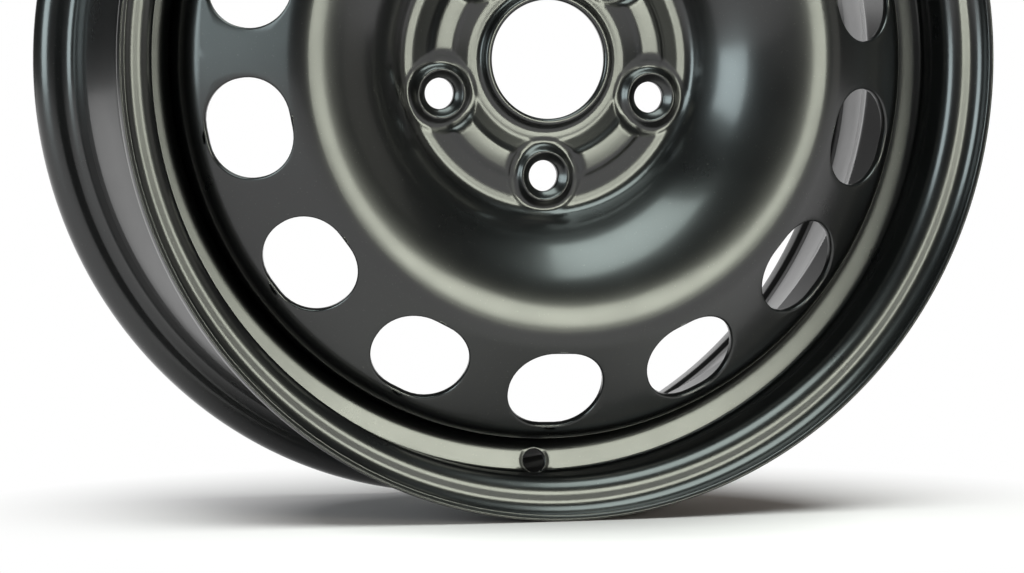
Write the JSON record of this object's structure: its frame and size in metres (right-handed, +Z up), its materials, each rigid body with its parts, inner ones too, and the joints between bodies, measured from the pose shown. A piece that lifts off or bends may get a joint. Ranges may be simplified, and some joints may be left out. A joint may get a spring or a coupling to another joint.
{
  "type": "steel wheel",
  "caption": "Pressed steel road wheel: a rolled rim with a ventilated pressed disc, ball-seat bolt holes and a collared centre bore.",
  "frame": {"origin": "centre of the hub's mounting face, on the wheel's axis", "axes": "+Y along the axis towards the car (inboard), so the outboard side faces -Y; +Z up, towards the top of the wheel as it stands in the picture; the valve hole is at the bottom"},
  "size_m": [0.4402, 0.1804, 0.44],
  "materials": {
    "black_steel": "semi-gloss black dip coat",
    "weld_bead": "coated weld metal"
  },
  "bodies": {
    "root": {"rim": "black_steel", "disc": "black_steel", "weld_1": "weld_bead", "weld_2": "weld_bead", "weld_3": "weld_bead", "weld_4": "weld_bead", "weld_5": "weld_bead", "weld_6": "weld_bead", "weld_7": "weld_bead", "weld_8": "weld_bead"}
  },
  "joints": []
}
